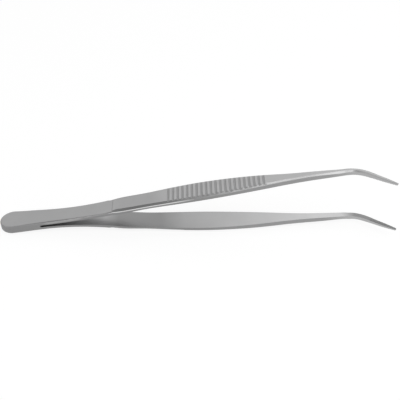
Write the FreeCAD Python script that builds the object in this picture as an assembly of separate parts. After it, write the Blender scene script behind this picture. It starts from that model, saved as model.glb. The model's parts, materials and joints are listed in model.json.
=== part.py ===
"""Thumb forceps with tips bent to one side, in two forged halves welded at the butt.

Each arm is worked out with the closing plane level at height 0 and the butt's round end at x = 0:
X runs towards the tips, Y across the arm and Z in the direction in which the arms open.
At the end both arms are turned together into the pose in which the forceps lie on a table.
All lengths are in millimetres and all angles in degrees.
"""
import FreeCAD, Part
import math
import os

# Lengths along an arm, one after the other from the butt
weld_length = 15.0
spring_length = 26.4
shank_length = 20.74
groove_count = 21
groove_pitch = 1.72
taper_length = 29.2
jaw_length = 15.3

# Angles between an arm and the closing plane, and the length on which the first falls to the second
flare_angle = 8.6
neck_angle = 2.97
jaw_angle = 1.0
bow_length = 49.0

# The sideways bend in front of the jaws
bend_angle = 39.0
bend_radius = 11.5

# Butt and spring; the relief is the step in the inner face where the slot between the springs starts
butt_width = 9.5
butt_thickness = 1.42
butt_edge_radius = 0.5
weld_end_width = 8.03
waist_width = 7.3
waist_distance = 9.2
spring_thickness = 1.19
spring_end_thickness = 1.24
spring_edge_radius = 0.22
spring_relief = 0.4

# Widths of the arm from the shoulder to the tip
shoulder_width = 7.9
shank_width = 8.63
grip_start_width = 9.27
grip_width = 9.67
grip_late_width = 8.45
grip_end_width = 6.36
taper_width = 4.38
neck_width = 3.11
bend_width = 2.25
jaw_root_width = 1.78
jaw_width = 1.43
tip_width = 0.5

# Thicknesses of the arm from the shoulder to the tip
shoulder_thickness = 1.6
shank_thickness = 1.36
grip_start_thickness = 1.49
grip_thickness = 1.68
grip_end_thickness = 2.05
neck_thickness = 1.95
bend_thickness = 1.75
jaw_root_thickness = 1.6
jaw_thickness = 1.1
tip_thickness = 0.46

# Bevels along the outer edges: their width across the arm, which is also their drop where none is given
shoulder_bevel = 1.12
shoulder_bevel_drop = 0.57
shank_bevel = 1.1
shank_bevel_drop = 0.54
grip_bevel = 0.94
grip_bevel_drop = 0.67
grip_end_bevel = 0.68
grip_end_bevel_drop = 0.47
neck_bevel = 0.52
neck_bevel_drop = 0.34
bend_bevel = 0.65
bend_bevel_drop = 0.53
jaw_root_bevel = 0.46
jaw_bevel = 0.36
tip_bevel = 0.13

# The shoulder: a steep ramp up from the spring, then a long low one, and the bevel's runout on the spring
steep_ramp_length = 0.4
low_ramp_length = 1.2
low_ramp_drop = 0.13
runout_length = 2.6
runout_sink = 0.06

# Grooves across the grip
groove_radius = 0.46
groove_depth = 0.28

# Teeth across the gripping face of the jaw
tooth_pitch = 0.6
tooth_depth = 0.16
toothed_length = 13.0

# Rounding of the tip's end
point_length = 1.0

shoulder_x = weld_length + spring_length
grip_start_x = shoulder_x + shank_length
grip_length = groove_pitch * (groove_count - 1)
grip_end_x = grip_start_x + grip_length
bend_start_x = grip_end_x + taper_length
bend_arc = bend_radius * math.radians(bend_angle)
bend_end_s = bend_start_x + bend_arc
tip_end_s = bend_end_s + jaw_length
bow_end_x = shoulder_x + bow_length

ACROSS = FreeCAD.Vector(0, 1, 0)
UP = FreeCAD.Vector(0, 0, 1)


def slope_stations():
    """Distances along the arm and the inner face's slope there, which changes evenly in between."""
    flare, neck, jaw = [math.tan(math.radians(angle)) for angle in (flare_angle, neck_angle, jaw_angle)]
    return [
        (0.0, 0.0), (weld_length, 0.0), (shoulder_x, flare), (bow_end_x, neck),
        (bend_start_x, neck), (bend_end_s, jaw), (2.0 * tip_end_s, jaw),
    ]


def inner_height(s):
    """Height of the arm's inner face above the closing plane, at a distance s along the arm."""
    stations = slope_stations()
    height = spring_relief if s > weld_length else 0.0
    for (start, slope), (end, next_slope) in zip(stations, stations[1:]):
        run = min(s, end) - start
        if run > 0.0:
            reached = slope + (next_slope - slope) * run / (end - start)
            height += 0.5 * (slope + reached) * run
    return height


def centre_line(s):
    """Place of the arm's centre line seen from above, and the angle to which it has turned there."""
    if s <= bend_start_x:
        return s, 0.0, 0.0
    turned = min(s - bend_start_x, bend_arc) / bend_radius
    x = bend_start_x + bend_radius * math.sin(turned)
    y = -bend_radius * (1.0 - math.cos(turned))
    past = max(0.0, s - bend_end_s)
    return x + past * math.cos(turned), y - past * math.sin(turned), -math.degrees(turned)


def placed(s, across, height):
    """A point of the arm, from its distance along, its offset across and its height over the inner face."""
    x, y, turn = centre_line(s)
    side = math.radians(turn + 90.0)
    return FreeCAD.Vector(x + across * math.cos(side), y + across * math.sin(side), inner_height(s) + height)


def between(start, end, share):
    """A row of sizes part of the way from one row to another."""
    return [a + share * (b - a) for a, b in zip(start, end)]


def arm_sections():
    """Sections of the straight part, shoulder to bend: distance, width, thickness, bevel and the bevel's drop."""
    late_thickness = 0.5 * (grip_thickness + grip_end_thickness)
    taper_thickness = 0.5 * (grip_end_thickness + neck_thickness)
    grip_bevels = (grip_bevel, grip_bevel_drop)
    end_bevels = (grip_end_bevel, grip_end_bevel_drop)
    neck_bevels = (neck_bevel, neck_bevel_drop)
    grip_start_bevels = between((shank_bevel, shank_bevel_drop), grip_bevels, 0.7)
    late_bevels = between(grip_bevels, end_bevels, 0.5)
    taper_bevels = between(end_bevels, neck_bevels, 0.5)
    neck = (neck_width, neck_thickness, *neck_bevels)
    bend = (bend_width, bend_thickness, bend_bevel, bend_bevel_drop)
    return [
        (shoulder_x, shoulder_width, shoulder_thickness, shoulder_bevel, shoulder_bevel_drop),
        (shoulder_x + 0.5 * shank_length, shank_width, shank_thickness, shank_bevel, shank_bevel_drop),
        (grip_start_x, grip_start_width, grip_start_thickness, *grip_start_bevels),
        (grip_start_x + 0.37 * grip_length, grip_width, grip_thickness, *grip_bevels),
        (grip_start_x + 0.7 * grip_length, grip_late_width, late_thickness, *late_bevels),
        (grip_end_x, grip_end_width, grip_end_thickness, *end_bevels),
        (grip_end_x + 0.29 * taper_length, taper_width, taper_thickness, *taper_bevels),
        (grip_end_x + 0.58 * taper_length, *neck),
        (grip_end_x + 0.79 * taper_length, *between(neck, bend, 0.5)),
        (bend_start_x, *bend),
    ]


def jaw_sections():
    """Sections of the bend and the jaw behind its point, as in the straight part."""
    bend = (bend_width, bend_thickness, bend_bevel, bend_bevel_drop)
    root = (jaw_root_width, jaw_root_thickness, jaw_root_bevel, jaw_root_bevel)
    middle = (jaw_width, jaw_thickness, jaw_bevel, jaw_bevel)
    tip = (tip_width, tip_thickness, tip_bevel, tip_bevel)
    middle_s = bend_end_s + 0.5 * jaw_length
    point_s = tip_end_s - point_length
    rows = [(bend_start_x + share * bend_arc, *between(bend, root, share)) for share in (0.0, 0.33, 0.67, 1.0)]
    rows += [(bend_end_s + share * (middle_s - bend_end_s), *between(root, middle, share)) for share in (0.5, 1.0)]
    rows += [(middle_s + share * (point_s - middle_s), *between(middle, tip, share)) for share in (0.5, 1.0)]
    return rows


def section_wire(s, width, thickness, bevel, drop, lift=0.0):
    """Section across the arm: a flat inner face, two low sides, two bevels and the flat outer face."""
    half = 0.5 * width
    corners = [
        (-half, 0.0), (half, 0.0), (half, thickness - drop),
        (half - bevel, thickness), (bevel - half, thickness), (-half, thickness - drop),
    ]
    points = [placed(s, across, lift + height) for across, height in corners]
    return Part.makePolygon(points + points[:1])


def point_sections():
    """Sections that draw the end of the jaw in to a small blunt point, part of the way up its thickness."""
    rows = []
    for share, scale in ((0.45, 0.93), (0.8, 0.72), (1.0, 0.4)):
        s = tip_end_s - (1.0 - share) * point_length
        lift = 0.3 * (1.0 - scale) * tip_thickness
        rows.append((s, scale * tip_width, scale * tip_thickness, scale * tip_bevel, scale * tip_bevel, lift))
    return rows


def outer_height(body, s):
    """Height of a body's outer face over its middle line, at a distance s along the arm."""
    reach = 2.0 * (shoulder_thickness + grip_end_thickness)
    probe = Part.makeLine(placed(s, 0.0, 0.0), placed(s, 0.0, reach))
    return body.common(probe).BoundBox.ZMax


def ground_shoulder(body):
    """What is ground off the shoulder's end: a steep ramp up from the spring and a long low one behind it."""
    ramp_s = shoulder_x + steep_ramp_length
    end_s = ramp_s + low_ramp_length
    foot = placed(shoulder_x, -shoulder_width, spring_end_thickness)
    ramp = placed(ramp_s, -shoulder_width, shoulder_thickness - low_ramp_drop)
    end = placed(end_s, -shoulder_width, outer_height(body, end_s) - inner_height(end_s))
    over = FreeCAD.Vector(end.x, end.y, end.z + shoulder_thickness)
    behind = FreeCAD.Vector(foot.x - steep_ramp_length, end.y, over.z)
    below = FreeCAD.Vector(behind.x, end.y, foot.z)
    outline = Part.makePolygon([foot, ramp, end, over, behind, below, foot])
    return Part.Face(outline).extrude(2.0 * shoulder_width * ACROSS)


def forged_body():
    """The stiff part of the arm, from the shoulder to the point."""
    straight = Part.makeLoft([section_wire(*row) for row in arm_sections()], True, False)
    straight = straight.cut(ground_shoulder(straight))
    jaw = Part.makeLoft([section_wire(*row) for row in jaw_sections() + point_sections()], True, False)
    return straight.fuse(jaw)


def side_profile():
    """Side view of butt and spring: flat inside along the weld, then a step and one arc up to the shoulder."""
    middle_s = weld_length + 0.5 * spring_length
    middle_thickness = 0.5 * (spring_thickness + spring_end_thickness)
    corners = {
        "heel": (0.0, 0.0),
        "weld": (weld_length, 0.0),
        "slot": (weld_length, spring_relief),
        "middle": (middle_s, inner_height(middle_s)),
        "shoulder": (shoulder_x, inner_height(shoulder_x)),
        "top shoulder": (shoulder_x, inner_height(shoulder_x) + spring_end_thickness),
        "top middle": (middle_s, inner_height(middle_s) + middle_thickness),
        "top weld": (weld_length, spring_relief + spring_thickness),
        "top heel": (0.0, butt_thickness),
    }
    at = {name: FreeCAD.Vector(x, 0, z) for name, (x, z) in corners.items()}
    return Part.Wire([
        Part.LineSegment(at["heel"], at["weld"]).toShape(),
        Part.LineSegment(at["weld"], at["slot"]).toShape(),
        Part.Arc(at["slot"], at["middle"], at["shoulder"]).toShape(),
        Part.LineSegment(at["shoulder"], at["top shoulder"]).toShape(),
        Part.Arc(at["top shoulder"], at["top middle"], at["top weld"]).toShape(),
        Part.LineSegment(at["top weld"], at["top heel"]).toShape(),
        Part.LineSegment(at["top heel"], at["heel"]).toShape(),
    ])


def plan_side(sign):
    """One side of butt and spring seen from above, drawn in to a slight waist."""
    curve = Part.BSplineCurve()
    curve.interpolate([
        FreeCAD.Vector(0.5 * butt_width, sign * 0.5 * butt_width, 0),
        FreeCAD.Vector(weld_length, sign * 0.5 * weld_end_width, 0),
        FreeCAD.Vector(shoulder_x - waist_distance, sign * 0.5 * waist_width, 0),
        FreeCAD.Vector(shoulder_x, sign * 0.5 * shoulder_width, 0),
    ])
    return curve.toShape()


def plan_outline():
    """Outline of butt and spring seen from above: a round end, two sides and a straight end at the shoulder."""
    radius = 0.5 * butt_width
    half = 0.5 * shoulder_width
    round_end = Part.Arc(FreeCAD.Vector(radius, -radius, 0), FreeCAD.Vector(0, 0, 0), FreeCAD.Vector(radius, radius, 0))
    far_end = Part.LineSegment(FreeCAD.Vector(shoulder_x, half, 0), FreeCAD.Vector(shoulder_x, -half, 0))
    return Part.Wire([round_end.toShape(), plan_side(1.0), far_end.toShape(), plan_side(-1.0)])


def butt_and_spring():
    """Half of the butt with its thin spring, its outer edge rounded over most at the butt's end."""
    width = 2.0 * butt_width
    slab = Part.Face(side_profile())
    slab.translate(FreeCAD.Vector(0, -0.5 * width, 0))
    column = Part.Face(plan_outline()).extrude(10.0 * butt_thickness * UP)
    blank = slab.extrude(width * ACROSS).common(column).Solids[0]
    return rounded_outer_edge(blank)


def rounded_outer_edge(blank):
    """Rounds the outer edge, with a radius that falls from the butt's end to the spring."""
    document = FreeCAD.newDocument()
    base = document.addObject("Part::Feature")
    base.Shape = blank
    fillet = document.addObject("Part::Fillet")
    fillet.Base = base
    rounded = []
    for number, edge in enumerate(blank.Edges, 1):
        ends = sorted((edge.valueAt(edge.FirstParameter), edge.valueAt(edge.LastParameter)), key=lambda end: end.x)
        outside = min(end.z - inner_height(end.x) for end in ends) > 0.5 * spring_thickness
        level = edge.CenterOfMass.z - inner_height(edge.CenterOfMass.x) > 0.8 * spring_thickness
        along = ends[1].x - ends[0].x > 0.1
        if outside and level and along:
            radii = [edge_radius(edge.valueAt(end).x) for end in (edge.FirstParameter, edge.LastParameter)]
            rounded.append((number, *radii))
    fillet.Edges = rounded
    document.recompute()
    shape = fillet.Shape.copy()
    FreeCAD.closeDocument(document.Name)
    return shape


def edge_radius(x):
    """Radius of the rounded outer edge: full round the butt's end and least from the weld's end on."""
    start = 0.5 * butt_width
    share = min(1.0, max(0.0, (x - start) / (weld_length - start)))
    return butt_edge_radius + share * (spring_edge_radius - butt_edge_radius)


def runout(sign):
    """The round cut that a grinding wheel leaves on the spring's corner where a bevel ends at the shoulder."""
    slant = math.hypot(shoulder_bevel, shoulder_bevel_drop)
    spring_corner = (spring_end_thickness - shoulder_thickness + shoulder_bevel_drop) * shoulder_bevel / slant
    depth = spring_corner + runout_sink
    radius = 0.5 * (runout_length ** 2 / depth + depth)
    outward = FreeCAD.Vector(0, sign * shoulder_bevel_drop, shoulder_bevel).normalize()
    along_bevel = FreeCAD.Vector(0, sign * shoulder_bevel, -shoulder_bevel_drop).normalize()
    length = 4.0 * shoulder_bevel
    corner = placed(shoulder_x, sign * 0.5 * shoulder_width, shoulder_thickness - shoulder_bevel_drop)
    centre = corner + (radius - runout_sink) * outward - 0.5 * length * along_bevel
    wheel = Part.makeCylinder(radius, length, centre, along_bevel)
    wheel.rotate(corner, ACROSS, -flare_angle)
    return wheel


def groove_cutter(body, s):
    """A round bar laid across the arm, sunk into the body's outer face by the groove's depth."""
    start = FreeCAD.Vector(s, -grip_width, outer_height(body, s) + groove_radius - groove_depth)
    return Part.makeCylinder(groove_radius, 2.0 * grip_width, start, ACROSS)


def tooth_cutter(s):
    """A V-shaped bar laid across the jaw's gripping face."""
    half = 0.45 * tooth_pitch
    clear = 0.1
    spread = half * (tooth_depth + clear) / tooth_depth
    reach = jaw_root_width
    low = [placed(s - spread, -reach, -clear), placed(s + spread, -reach, -clear)]
    apex = placed(s, -reach, tooth_depth)
    end = placed(s, reach, tooth_depth)
    return Part.Face(Part.makePolygon([low[0], low[1], apex, low[0]])).extrude(end - apex)


def make_arm():
    """One half of the forceps, above the closing plane."""
    stiff = forged_body()
    arm = butt_and_spring().cut([runout(1.0), runout(-1.0)]).fuse(stiff)
    grooves = [groove_cutter(stiff, grip_start_x + number * groove_pitch) for number in range(groove_count)]
    tooth_count = int(toothed_length / tooth_pitch)
    last_tooth = tip_end_s - point_length
    teeth = [tooth_cutter(last_tooth - number * tooth_pitch) for number in range(tooth_count)]
    return arm.cut(grooves + teeth).Solids[0]


def rest_tilt(arm):
    """Angle between the closing plane and a table that touches the butt's end and the arm's highest place."""
    stiff = [vertex for vertex in arm.Vertexes if vertex.X > shoulder_x]
    rises = [math.atan2(vertex.Z - butt_thickness, vertex.X - butt_edge_radius) for vertex in stiff]
    return math.degrees(max(rises))


def laid_down(shapes, tilt):
    """Both arms as they lie on the table, with the origin under the middle of their box."""
    turned = []
    for shape in shapes:
        copy = shape.copy()
        copy.rotate(FreeCAD.Vector(0, 0, 0), ACROSS, -tilt)
        turned.append(copy)
    box = Part.makeCompound(turned).optimalBoundingBox(False, False)
    shift = FreeCAD.Vector(-box.Center.x, -box.Center.y, -box.ZMin)
    for shape in turned:
        shape.translate(shift)
    return turned, shift


upper = make_arm()
lower = upper.mirror(FreeCAD.Vector(0, 0, 0), UP)
tilt = rest_tilt(upper)
(upper, lower), origin_shift = laid_down([upper, lower], tilt)

os.makedirs("parts", exist_ok=True)
for name, arm in (("upper_arm", upper), ("lower_arm", lower)):
    arm.exportStep("parts/%s.step" % name)
    print(name, "volume", round(arm.Volume, 2), "valid", arm.isValid())
print("tilt", round(tilt, 4), "shift", [round(value, 4) for value in origin_shift])
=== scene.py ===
"""Thumb forceps with tips bent to one side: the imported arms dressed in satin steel, on a pale floor.

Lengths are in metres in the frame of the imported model: X from the butt to the tips, Y across the arms, Z up.
"""
import json
import math

import bpy
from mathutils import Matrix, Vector

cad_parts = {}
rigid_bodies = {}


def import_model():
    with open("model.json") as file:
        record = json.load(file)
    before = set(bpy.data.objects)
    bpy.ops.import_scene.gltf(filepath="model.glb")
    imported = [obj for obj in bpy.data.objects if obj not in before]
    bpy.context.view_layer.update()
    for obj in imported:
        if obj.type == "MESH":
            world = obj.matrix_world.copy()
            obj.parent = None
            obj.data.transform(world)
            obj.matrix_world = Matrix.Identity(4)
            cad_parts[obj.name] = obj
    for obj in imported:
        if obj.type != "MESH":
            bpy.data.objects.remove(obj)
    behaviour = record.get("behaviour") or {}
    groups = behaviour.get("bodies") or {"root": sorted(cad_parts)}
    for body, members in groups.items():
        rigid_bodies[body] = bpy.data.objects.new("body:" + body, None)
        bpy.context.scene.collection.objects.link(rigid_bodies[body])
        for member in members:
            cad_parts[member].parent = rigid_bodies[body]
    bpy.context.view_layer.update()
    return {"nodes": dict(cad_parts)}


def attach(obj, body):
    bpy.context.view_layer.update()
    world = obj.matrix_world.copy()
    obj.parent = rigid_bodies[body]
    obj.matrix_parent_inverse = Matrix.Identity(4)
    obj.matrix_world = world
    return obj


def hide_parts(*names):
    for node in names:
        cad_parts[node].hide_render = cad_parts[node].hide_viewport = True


bl_info = {
    "name": "Thumb Forceps",
    "version": (1, 0, 0),
    "blender": (4, 5, 0),
    "location": "View3D > Sidebar > Forceps",
    "description": "Dresses the two arms of a pair of thumb forceps and sets them on a pale floor",
    "category": "Object",
}

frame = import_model()

ARMS = ("upper_arm", "lower_arm")

# Corners of the CAD's loose triangles that lie closer than this are the same corner
MERGE_GAP = 2e-6

# Where the cut at the jaws' end passes, how far the jaws turn to the side, and how far the closing plane leans
JAW_END = (0.0699, -0.0064, 0.0040)
JAW_TURN = math.radians(39.0)
JAW_LEAN = math.radians(5.07)

# Places of the faces' materials in each arm's list: the same steel, rougher or smoother on some faces, with a colour
# per face that paints the light and shade falling on faces turned that way
OUTER, BEVEL, SIDE, INNER, GROOVE, WORN_EDGE_HIGHLIGHT = range(6)

# A face's finish and painted shading follow from how far it rises away from the other arm, and from its turn along and
# across the arm
OUTER_RISE = 0.93
INNER_RISE = -0.8
WALL_RISE = 0.3
WALL_MOST_ALONG = 0.75
GROOVE_MOST_ACROSS = 0.25
STRIP_WIDTH = 0.0004

# The edges between bevel and side wall are worn from the butt to here, and carry a painted highlight along that
# stretch
WORN_HIGHLIGHT_END_X = -0.002

# Stretch along X over which the painted reflections are laid, from 0 to 1
START_X = -0.05
END_X = 0.07

# Painted reflection and shade for each face's material: a place along that stretch, and a share of the colour. The
# shares were set by reading greys beside the photo's, in place of the reflections of its studio.
OUTER_PAINTED_REFLECTION = ((0.27, 0.84), (0.34, 0.98))
INNER_PAINTED_REFLECTION = (
    (0.13, 0.74), (0.17, 0.52), (0.30, 0.50), (0.37, 0.68),
    (0.57, 0.82), (0.80, 0.98), (0.85, 0.95), (0.89, 0.45),
)
SIDE_PAINTED_REFLECTION = ((0.40, 0.58), (0.57, 0.68), (0.80, 0.76), (0.88, 1.0))
BEVEL_PAINTED_REFLECTION = ((0.31, 0.74), (0.38, 1.0))
EDGE_PAINTED_REFLECTION = ((0.14, 0.5), (0.16, 1.0), (0.35, 1.0), (0.39, 0.6))

# Greys of the studio: a height, from 0 at the horizon to 1 overhead, and the grey there
HORIZON_GREY = 0.80
OVERHEAD = (0.97, 0.24)
STUDIO_GREYS = ((0.35, 0.86), (0.66, 0.84), (0.84, 0.48))

# The floor glows at one strength to the camera and at a lower one in reflections
FLOOR_GREY = 0.8
FLOOR_CAMERA_SHARE = 0.75
FLOOR_CAMERA_GLOW = 1.12
FLOOR_MIRRORED_GLOW = 0.55

# Both lamps look at this point, between the grip and the tips
LAMP_TARGET = (0.05, 0.0, 0.01)


# ---------------------------------------------------------------- settings

class ForcepsSteel(bpy.types.PropertyGroup):
    """Colours and softness of the steel. The face colours paint the light and shade that falls on faces turned each
    way, and the edge colour is partly a painted highlight.
    """
    # The face colours below paint light and shade: each is the same steel, made lighter or darker for the way its
    # faces are turned
    flat_colour: bpy.props.FloatVectorProperty(
        name="Flat Colour", description="Colour of the broad outer faces", subtype="COLOR",
        size=3, min=0.0, max=1.0, default=(0.535, 0.535, 0.537))
    inner_colour: bpy.props.FloatVectorProperty(
        name="Inner Colour", description="Colour of the faces that look at each other", subtype="COLOR",
        size=3, min=0.0, max=1.0, default=(0.68, 0.68, 0.683))
    side_colour: bpy.props.FloatVectorProperty(
        name="Side Colour", description="Colour of the narrow side walls", subtype="COLOR",
        size=3, min=0.0, max=1.0, default=(0.76, 0.76, 0.763))
    bevel_colour: bpy.props.FloatVectorProperty(
        name="Bevel Colour", description="Colour of the ground bevels", subtype="COLOR",
        size=3, min=0.0, max=1.0, default=(0.50, 0.50, 0.502))
    # Darker colour in the grooves, creases and steps: painted shade in these hollows
    groove_shade_colour: bpy.props.FloatVectorProperty(
        name="Groove Colour", description="Colour inside the grip's grooves", subtype="COLOR",
        size=3, min=0.0, max=1.0, default=(0.37, 0.37, 0.372))
    # Bright colour of the worn edges: partly their wear and partly a painted highlight
    edge_highlight_colour: bpy.props.FloatVectorProperty(
        name="Edge Colour", description="Colour of the worn edges", subtype="COLOR",
        size=3, min=0.0, max=1.0, default=(0.90, 0.90, 0.903))
    roughness: bpy.props.FloatProperty(
        name="Roughness", description="Roughness of the satin finish", min=0.0, max=1.0, default=0.36)
    edge_width: bpy.props.FloatProperty(
        name="Edge Width", description="Width to which the edges between bevels and side walls are worn round",
        min=0.0, unit="LENGTH", precision=5, default=0.00020)
    fine_width: bpy.props.FloatProperty(
        name="Fine Width", description="Most width of the thin strips between the other sharp faces",
        min=0.0, unit="LENGTH", precision=5, default=0.00009)
    edge_angle: bpy.props.FloatProperty(
        name="Edge Angle", description="Edges sharper than this are worn or parted",
        min=0.0, unit="ROTATION", default=math.radians(24.0))
    tip_rounding: bpy.props.FloatProperty(
        name="Tip Rounding", description="Width of the rounding round the jaw's end",
        min=0.0, unit="LENGTH", precision=5, default=0.0002)


class ForcepsStage(bpy.types.PropertyGroup):
    """Camera, lamps and floor."""
    azimuth: bpy.props.FloatProperty(
        name="Azimuth", description="Direction of view round the forceps", unit="ROTATION",
        default=math.radians(-1.231))
    elevation: bpy.props.FloatProperty(
        name="Elevation", description="Angle at which the camera looks down", unit="ROTATION",
        default=math.radians(37.0))
    distance: bpy.props.FloatProperty(
        name="Distance", description="Distance from the camera to the point that it aims at",
        min=0.01, unit="LENGTH", precision=4, default=0.3208)
    aim: bpy.props.FloatVectorProperty(
        name="Aim", description="Point at the middle of the picture", subtype="TRANSLATION",
        unit="LENGTH", size=3, precision=5, default=(0.00009, 0.00074, 0.01299))
    lens: bpy.props.FloatProperty(
        name="Lens", description="Focal length on a sensor 36 mm wide", min=1.0, unit="CAMERA", default=81.0)
    floor_width: bpy.props.FloatProperty(
        name="Floor Width", description="Width of the round floor", min=0.1, unit="LENGTH", default=8.0)
    top_power: bpy.props.FloatProperty(
        name="Top Power", description="Power of the soft lamp over the tips", min=0.0, default=0.55)
    back_power: bpy.props.FloatProperty(
        name="Back Power", description="Power of the soft lamp behind the tips", min=0.0, default=0.06)


# ---------------------------------------------------------------- helpers

def deselect_all():
    """Leaves nothing selected, in object mode."""
    if bpy.context.object and bpy.context.object.mode != "OBJECT":
        bpy.ops.object.mode_set(mode="OBJECT")
    bpy.ops.object.select_all(action="DESELECT")


def make_active(piece):
    """Selects one object and nothing else."""
    deselect_all()
    piece.select_set(True)
    bpy.context.view_layer.objects.active = piece


def merged_copy(node, name):
    """A copy of a CAD node whose loose triangles are merged into one closed mesh."""
    make_active(frame["nodes"][node])
    bpy.ops.object.duplicate()
    piece = bpy.context.object
    bpy.ops.object.parent_clear(type="CLEAR")
    for key in list(piece.keys()):
        del piece[key]
    piece.name = name
    piece.data.name = name
    piece.data.materials.clear()
    bpy.ops.object.mode_set(mode="EDIT")
    bpy.ops.mesh.select_all(action="SELECT")
    bpy.ops.mesh.remove_doubles(threshold=MERGE_GAP)
    bpy.ops.mesh.dissolve_degenerate(threshold=MERGE_GAP)
    bpy.ops.object.mode_set(mode="OBJECT")
    return piece


def trim_jaw(piece, end, blunting):
    """Cuts the jaw off square to its length at a point, and rounds the cut."""
    level = math.cos(JAW_TURN)
    away = Vector((level * math.cos(JAW_LEAN), -math.sin(JAW_TURN), level * math.sin(JAW_LEAN)))
    bpy.ops.object.mode_set(mode="EDIT")
    bpy.ops.mesh.select_mode(type="VERT")
    bpy.ops.mesh.select_all(action="SELECT")
    bpy.ops.mesh.bisect(plane_co=end, plane_no=away, use_fill=True, clear_outer=True)
    bpy.ops.mesh.bevel(offset=blunting, segments=3, affect="EDGES")
    bpy.ops.mesh.select_all(action="DESELECT")
    bpy.ops.object.mode_set(mode="OBJECT")


# ---------------------------------------------------------------- materials

def new_group(name, inputs, outputs):
    """An empty shader node group with named float inputs and outputs, and its two end nodes."""
    group = bpy.data.node_groups.new(name, "ShaderNodeTree")
    for label, default in inputs:
        socket = group.interface.new_socket(name=label, in_out="INPUT", socket_type="NodeSocketFloat")
        socket.default_value = default
    for label in outputs:
        group.interface.new_socket(name=label, in_out="OUTPUT", socket_type="NodeSocketFloat")
    return group, group.nodes.new("NodeGroupInput"), group.nodes.new("NodeGroupOutput")


def brushed_grain():
    """Node group, all from 0 to 1: fine streaks along the arms, broad soft clouds, and the place along the arms."""
    name = "Brushed Grain"
    if name in bpy.data.node_groups:
        return bpy.data.node_groups[name]
    group, given, put = new_group(
        name, (("Streak Density", 9000.0), ("Cloud Density", 160.0)), ("Streaks", "Clouds", "Reach"))
    link = group.links.new
    place = group.nodes.new("ShaderNodeTexCoord")
    stretch = group.nodes.new("ShaderNodeMapping")
    stretch.inputs["Scale"].default_value = (0.025, 1.0, 1.0)
    streaks = group.nodes.new("ShaderNodeTexNoise")
    streaks.inputs["Detail"].default_value = 2.0
    clouds = group.nodes.new("ShaderNodeTexNoise")
    clouds.inputs["Detail"].default_value = 3.0
    link(place.outputs["Object"], stretch.inputs["Vector"])
    link(stretch.outputs["Vector"], streaks.inputs["Vector"])
    link(given.outputs["Streak Density"], streaks.inputs["Scale"])
    link(place.outputs["Object"], clouds.inputs["Vector"])
    link(given.outputs["Cloud Density"], clouds.inputs["Scale"])
    link(streaks.outputs["Fac"], put.inputs["Streaks"])
    link(clouds.outputs["Fac"], put.inputs["Clouds"])
    parts = group.nodes.new("ShaderNodeSeparateXYZ")
    reach = group.nodes.new("ShaderNodeMapRange")
    reach.inputs["From Min"].default_value = START_X
    reach.inputs["From Max"].default_value = END_X
    link(place.outputs["Object"], parts.inputs["Vector"])
    link(parts.outputs["X"], reach.inputs["Value"])
    link(reach.outputs["Result"], put.inputs["Reach"])
    return group


def mapped(material, source, low, high):
    """A Map Range node that turns a value from 0 to 1 into one from low to high."""
    node = material.node_tree.nodes.new("ShaderNodeMapRange")
    node.inputs["To Min"].default_value = low
    node.inputs["To Max"].default_value = high
    material.node_tree.links.new(source, node.inputs["Value"])
    return node.outputs["Result"]


def steel(name, colour, roughness, streak_height, variation, painted_reflection=()):
    """Satin steel: streaks in bump and roughness, a slight cloudiness in its colour, and painted reflection and shade
    along the arm.

    Each step of the painted reflection is a distance along X from 0 at START_X to 1 at END_X, and a share of the
    colour.
    """
    material = bpy.data.materials.new(name)
    material.use_nodes = True
    nodes, link = material.node_tree.nodes, material.node_tree.links.new
    shader = nodes["Principled BSDF"]
    shader.inputs["Metallic"].default_value = 1.0
    grain = nodes.new("ShaderNodeGroup")
    grain.node_tree = brushed_grain()
    tint = nodes.new("ShaderNodeMix")
    tint.data_type = "RGBA"
    tint.inputs["A"].default_value = (*[(1.0 - variation) * part for part in colour], 1.0)
    tint.inputs["B"].default_value = (*[(1.0 + variation) * part for part in colour], 1.0)
    link(grain.outputs["Clouds"], tint.inputs["Factor"])
    shade = tint
    # The ramp multiplies the colour along X: painted reflection and shade, as lighter and darker stretches along the
    # arm
    if painted_reflection:
        ramp = nodes.new("ShaderNodeValToRGB")
        stops = ramp.color_ramp.elements
        for number, (position, share) in enumerate(painted_reflection):
            stop = stops[number] if number < 2 else stops.new(position)
            stop.position = position
            stop.color = (share, share, share, 1.0)
        link(grain.outputs["Reach"], ramp.inputs["Fac"])
        shade = nodes.new("ShaderNodeMix")
        shade.data_type = "RGBA"
        shade.blend_type = "MULTIPLY"
        shade.inputs["Factor"].default_value = 1.0
        link(tint.outputs["Result"], shade.inputs["A"])
        link(ramp.outputs["Color"], shade.inputs["B"])
    link(shade.outputs["Result"], shader.inputs["Base Color"])
    link(mapped(material, grain.outputs["Streaks"], roughness - 0.07, roughness + 0.07), shader.inputs["Roughness"])
    bump = nodes.new("ShaderNodeBump")
    bump.inputs["Strength"].default_value = 0.25
    bump.inputs["Distance"].default_value = streak_height
    link(grain.outputs["Streaks"], bump.inputs["Height"])
    link(bump.outputs["Normal"], shader.inputs["Normal"])
    return material


def steel_finishes_and_painted_shading(settings):
    """The steel's materials, one per face direction, each with its finish and painted shading, in the order of OUTER,
    BEVEL, SIDE, INNER, GROOVE and WORN_EDGE_HIGHLIGHT.
    """
    rough = settings.roughness
    return [
        steel("steel_outer_face", settings.flat_colour, rough, 4e-6, 0.05, OUTER_PAINTED_REFLECTION),
        steel("steel_bevel", settings.bevel_colour, rough - 0.06, 2e-6, 0.03, BEVEL_PAINTED_REFLECTION),
        steel("steel_side_wall", settings.side_colour, rough, 4e-6, 0.05, SIDE_PAINTED_REFLECTION),
        steel("steel_inner_face", settings.inner_colour, rough, 4e-6, 0.05, INNER_PAINTED_REFLECTION),
        steel("steel_groove_painted_shade", settings.groove_shade_colour, rough + 0.06, 2e-6, 0.04),
        steel("steel_worn_edge_painted_highlight", settings.edge_highlight_colour, rough - 0.06, 2e-6, 0.03, EDGE_PAINTED_REFLECTION),
    ]


# ---------------------------------------------------------------- arms

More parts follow.
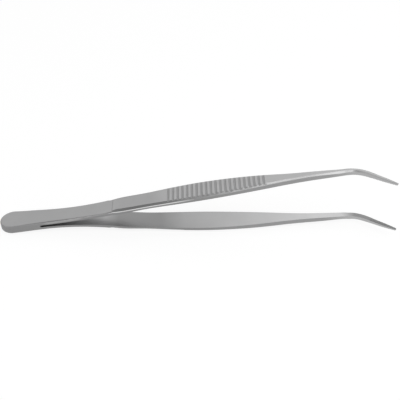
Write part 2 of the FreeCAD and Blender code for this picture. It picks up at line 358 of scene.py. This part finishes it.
def finish_and_painted_shading_of(mesh, face, outward):
    """The finish and painted shading that a face takes, by the way it looks: outward is 1 for the upper arm and -1 for
    the lower.
    """
    rise = outward * face.normal.z
    along = [mesh.vertices[index].co.x for index in face.vertices]
    across = abs(face.normal.y)
    if rise > WALL_RISE and across < GROOVE_MOST_ACROSS and max(along) - min(along) < STRIP_WIDTH:
        return GROOVE
    if rise > OUTER_RISE:
        return OUTER
    if rise < INNER_RISE:
        return INNER
    if abs(rise) < WALL_RISE and abs(face.normal.x) < WALL_MOST_ALONG:
        return SIDE
    if across < GROOVE_MOST_ACROSS:
        return GROOVE
    return BEVEL


def weigh_edges(mesh, settings):
    """Full wear, with its painted highlight, for the sharp edges between a bevel and a side wall up to
    WORN_HIGHLIGHT_END_X, and none for the rest.
    """
    sides = {}
    for face in mesh.polygons:
        for key in face.edge_keys:
            sides.setdefault(key, []).append(face)
    weights = mesh.attributes.new("bevel_weight_edge", "FLOAT", "EDGE")
    for edge in mesh.edges:
        faces = sides.get(edge.key, [])
        if len(faces) == 2 and faces[0].normal.angle(faces[1].normal) > settings.edge_angle:
            rubbed_and_highlit = {face.material_index for face in faces} == {BEVEL, SIDE}
            end = max(mesh.vertices[index].co.x for index in edge.vertices)
            weights.data[edge.index].value = 1.0 if rubbed_and_highlit and end < WORN_HIGHLIGHT_END_X else 0.0


class FORCEPS_OT_arms(bpy.types.Operator):
    """Both arms: a merged copy of each CAD arm with its finish and painted shading, its jaw cut to length and its
    shank's edges worn, with a painted highlight on them.
    """
    bl_idname = "forceps.arms"
    bl_label = "Arms"

    def execute(self, context):
        settings = context.scene.forceps_steel
        materials = steel_finishes_and_painted_shading(settings)
        for node in ARMS:
            outward = 1.0 if node == "upper_arm" else -1.0
            piece = merged_copy(node, node + "_dressed")
            for material in materials:
                piece.data.materials.append(material)
            # Each face takes the material for its direction, whose colour paints the light and shade that falls there
            for face in piece.data.polygons:
                face.material_index = finish_and_painted_shading_of(piece.data, face, outward)
            trim_jaw(piece, JAW_END, settings.tip_rounding)
            weigh_edges(piece.data, settings)
            # Rounds the worn shank edges and gives them the bright edge material, which is partly a painted highlight
            worn = piece.modifiers.new("Worn edges", "BEVEL")
            worn.width = settings.edge_width
            worn.segments = 3
            worn.limit_method = "WEIGHT"
            worn.material = WORN_EDGE_HIGHLIGHT
            worn.use_clamp_overlap = False
            bpy.ops.object.modifier_apply(modifier=worn.name)
            fine = piece.modifiers.new("Fine edges", "BEVEL")
            fine.width = settings.fine_width
            fine.segments = 2
            fine.limit_method = "ANGLE"
            fine.angle_limit = settings.edge_angle
            fine.use_clamp_overlap = True
            bpy.ops.object.modifier_apply(modifier=fine.name)
            bpy.ops.object.shade_smooth()
            flat = piece.modifiers.new("Flat faces", "WEIGHTED_NORMAL")
            flat.weight = 100
            bpy.ops.object.modifier_apply(modifier=flat.name)
            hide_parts(node)
            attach(piece, "root")
        return {"FINISHED"}


# ---------------------------------------------------------------- stage

def floor_material():
    """White floor: it glows white to the camera and dimmer in reflections, and keeps a share of its shadow."""
    material = bpy.data.materials.new("floor_white")
    material.use_nodes = True
    nodes, link = material.node_tree.nodes, material.node_tree.links.new
    shader = nodes["Principled BSDF"]
    shader.inputs["Base Color"].default_value = (FLOOR_GREY, FLOOR_GREY, FLOOR_GREY, 1.0)
    shader.inputs["Roughness"].default_value = 1.0
    shader.inputs["Specular IOR Level"].default_value = 0.0
    path = nodes.new("ShaderNodeLightPath")
    camera_share = nodes.new("ShaderNodeMath")
    camera_share.operation = "MULTIPLY"
    camera_share.inputs[1].default_value = FLOOR_CAMERA_SHARE
    link(path.outputs["Is Camera Ray"], camera_share.inputs[0])
    share = nodes.new("ShaderNodeMath")
    share.operation = "MAXIMUM"
    link(camera_share.outputs[0], share.inputs[0])
    link(path.outputs["Is Glossy Ray"], share.inputs[1])
    strength = nodes.new("ShaderNodeMapRange")
    strength.inputs["To Min"].default_value = FLOOR_CAMERA_GLOW
    strength.inputs["To Max"].default_value = FLOOR_MIRRORED_GLOW
    link(path.outputs["Is Glossy Ray"], strength.inputs["Value"])
    glow = nodes.new("ShaderNodeEmission")
    glow.inputs["Color"].default_value = (1.0, 1.0, 1.0, 1.0)
    link(strength.outputs["Result"], glow.inputs["Strength"])
    mix = nodes.new("ShaderNodeMixShader")
    link(share.outputs[0], mix.inputs["Fac"])
    link(shader.outputs["BSDF"], mix.inputs[1])
    link(glow.outputs["Emission"], mix.inputs[2])
    link(mix.outputs["Shader"], nodes["Material Output"].inputs["Surface"])
    return material


def studio_world():
    """A studio that is pale at the horizon and greyer overhead, and white where the camera sees it."""
    world = bpy.data.worlds.new("studio")
    bpy.context.scene.world = world
    world.use_nodes = True
    nodes, link = world.node_tree.nodes, world.node_tree.links.new
    room = nodes["Background"]
    direction = nodes.new("ShaderNodeTexCoord")
    parts = nodes.new("ShaderNodeSeparateXYZ")
    ramp = nodes.new("ShaderNodeValToRGB")
    stops = ramp.color_ramp
    stops.elements[0].color = (HORIZON_GREY, HORIZON_GREY, HORIZON_GREY, 1.0)
    stops.elements[1].position = OVERHEAD[0]
    stops.elements[1].color = (OVERHEAD[1], OVERHEAD[1], OVERHEAD[1], 1.0)
    for position, grey in STUDIO_GREYS:
        stops.elements.new(position).color = (grey, grey, grey, 1.0)
    link(direction.outputs["Generated"], parts.inputs["Vector"])
    link(parts.outputs["Z"], ramp.inputs["Fac"])
    link(ramp.outputs["Color"], room.inputs["Color"])
    white = nodes.new("ShaderNodeBackground")
    white.inputs["Color"].default_value = (1.0, 1.0, 1.0, 1.0)
    path = nodes.new("ShaderNodeLightPath")
    mix = nodes.new("ShaderNodeMixShader")
    link(path.outputs["Is Camera Ray"], mix.inputs["Fac"])
    link(room.outputs["Background"], mix.inputs[1])
    link(white.outputs["Background"], mix.inputs[2])
    link(mix.outputs["Shader"], nodes["World Output"].inputs["Surface"])


def soft_lamp(name, place, width, depth, power):
    """A rectangular lamp at a place, turned towards LAMP_TARGET."""
    bpy.ops.object.light_add(type="AREA", location=place)
    lamp = bpy.context.object
    lamp.name = name
    lamp.data.shape = "RECTANGLE"
    lamp.data.size = width
    lamp.data.size_y = depth
    lamp.data.energy = power
    lamp.rotation_euler = (Vector(LAMP_TARGET) - Vector(place)).to_track_quat("-Z", "Y").to_euler()


class FORCEPS_OT_stage(bpy.types.Operator):
    """The floor, the studio, two soft lamps and the camera."""
    bl_idname = "forceps.stage"
    bl_label = "Stage"

    def execute(self, context):
        settings = context.scene.forceps_stage
        deselect_all()
        bpy.ops.mesh.primitive_circle_add(vertices=96, radius=0.5 * settings.floor_width, fill_type="NGON")
        floor = context.object
        floor.name = "floor"
        floor.data.materials.append(floor_material())
        studio_world()
        soft_lamp("top_lamp", (0.16, -0.16, 0.42), 0.38, 0.34, settings.top_power)
        soft_lamp("back_lamp", (0.17, 0.34, 0.30), 0.30, 0.24, settings.back_power)
        self.aim_camera(context, settings)
        context.scene.view_settings.view_transform = "Standard"
        return {"FINISHED"}

    def aim_camera(self, context, settings):
        """Adds the camera, which looks at the aim point along the azimuth and down by the elevation."""
        level = math.cos(settings.elevation)
        look = Vector((
            -math.sin(settings.azimuth) * level,
            math.cos(settings.azimuth) * level,
            -math.sin(settings.elevation),
        ))
        bpy.ops.object.camera_add(location=Vector(settings.aim) - settings.distance * look)
        camera = context.object
        camera.name = "camera"
        camera.rotation_euler = look.to_track_quat("-Z", "Y").to_euler()
        camera.data.lens = settings.lens
        camera.data.sensor_width = 36.0
        camera.data.clip_start = 0.01
        context.scene.camera = camera


# ---------------------------------------------------------------- panel and run

class FORCEPS_PT_sidebar(bpy.types.Panel):
    """Buttons for each step and the sizes that a user may change."""
    bl_idname = "FORCEPS_PT_sidebar"
    bl_label = "Thumb Forceps"
    bl_space_type = "VIEW_3D"
    bl_region_type = "UI"
    bl_category = "Forceps"

    def draw(self, context):
        layout = self.layout
        for group in (context.scene.forceps_steel, context.scene.forceps_stage):
            for name in group.bl_rna.properties.keys():
                if name not in ("rna_type", "name"):
                    layout.prop(group, name)
        layout.operator(FORCEPS_OT_arms.bl_idname)
        layout.operator(FORCEPS_OT_stage.bl_idname)


CLASSES = (ForcepsSteel, ForcepsStage, FORCEPS_OT_arms, FORCEPS_OT_stage, FORCEPS_PT_sidebar)


def register():
    """Registers the classes and their settings."""
    for item in CLASSES:
        bpy.utils.register_class(item)
    bpy.types.Scene.forceps_steel = bpy.props.PointerProperty(type=ForcepsSteel)
    bpy.types.Scene.forceps_stage = bpy.props.PointerProperty(type=ForcepsStage)


def unregister():
    """Takes the settings and the classes out again."""
    del bpy.types.Scene.forceps_stage
    del bpy.types.Scene.forceps_steel
    for item in reversed(CLASSES):
        bpy.utils.unregister_class(item)


def main():
    """Builds everything."""
    register()
    bpy.ops.forceps.arms()
    bpy.ops.forceps.stage()


if __name__ == "__main__":
    main()
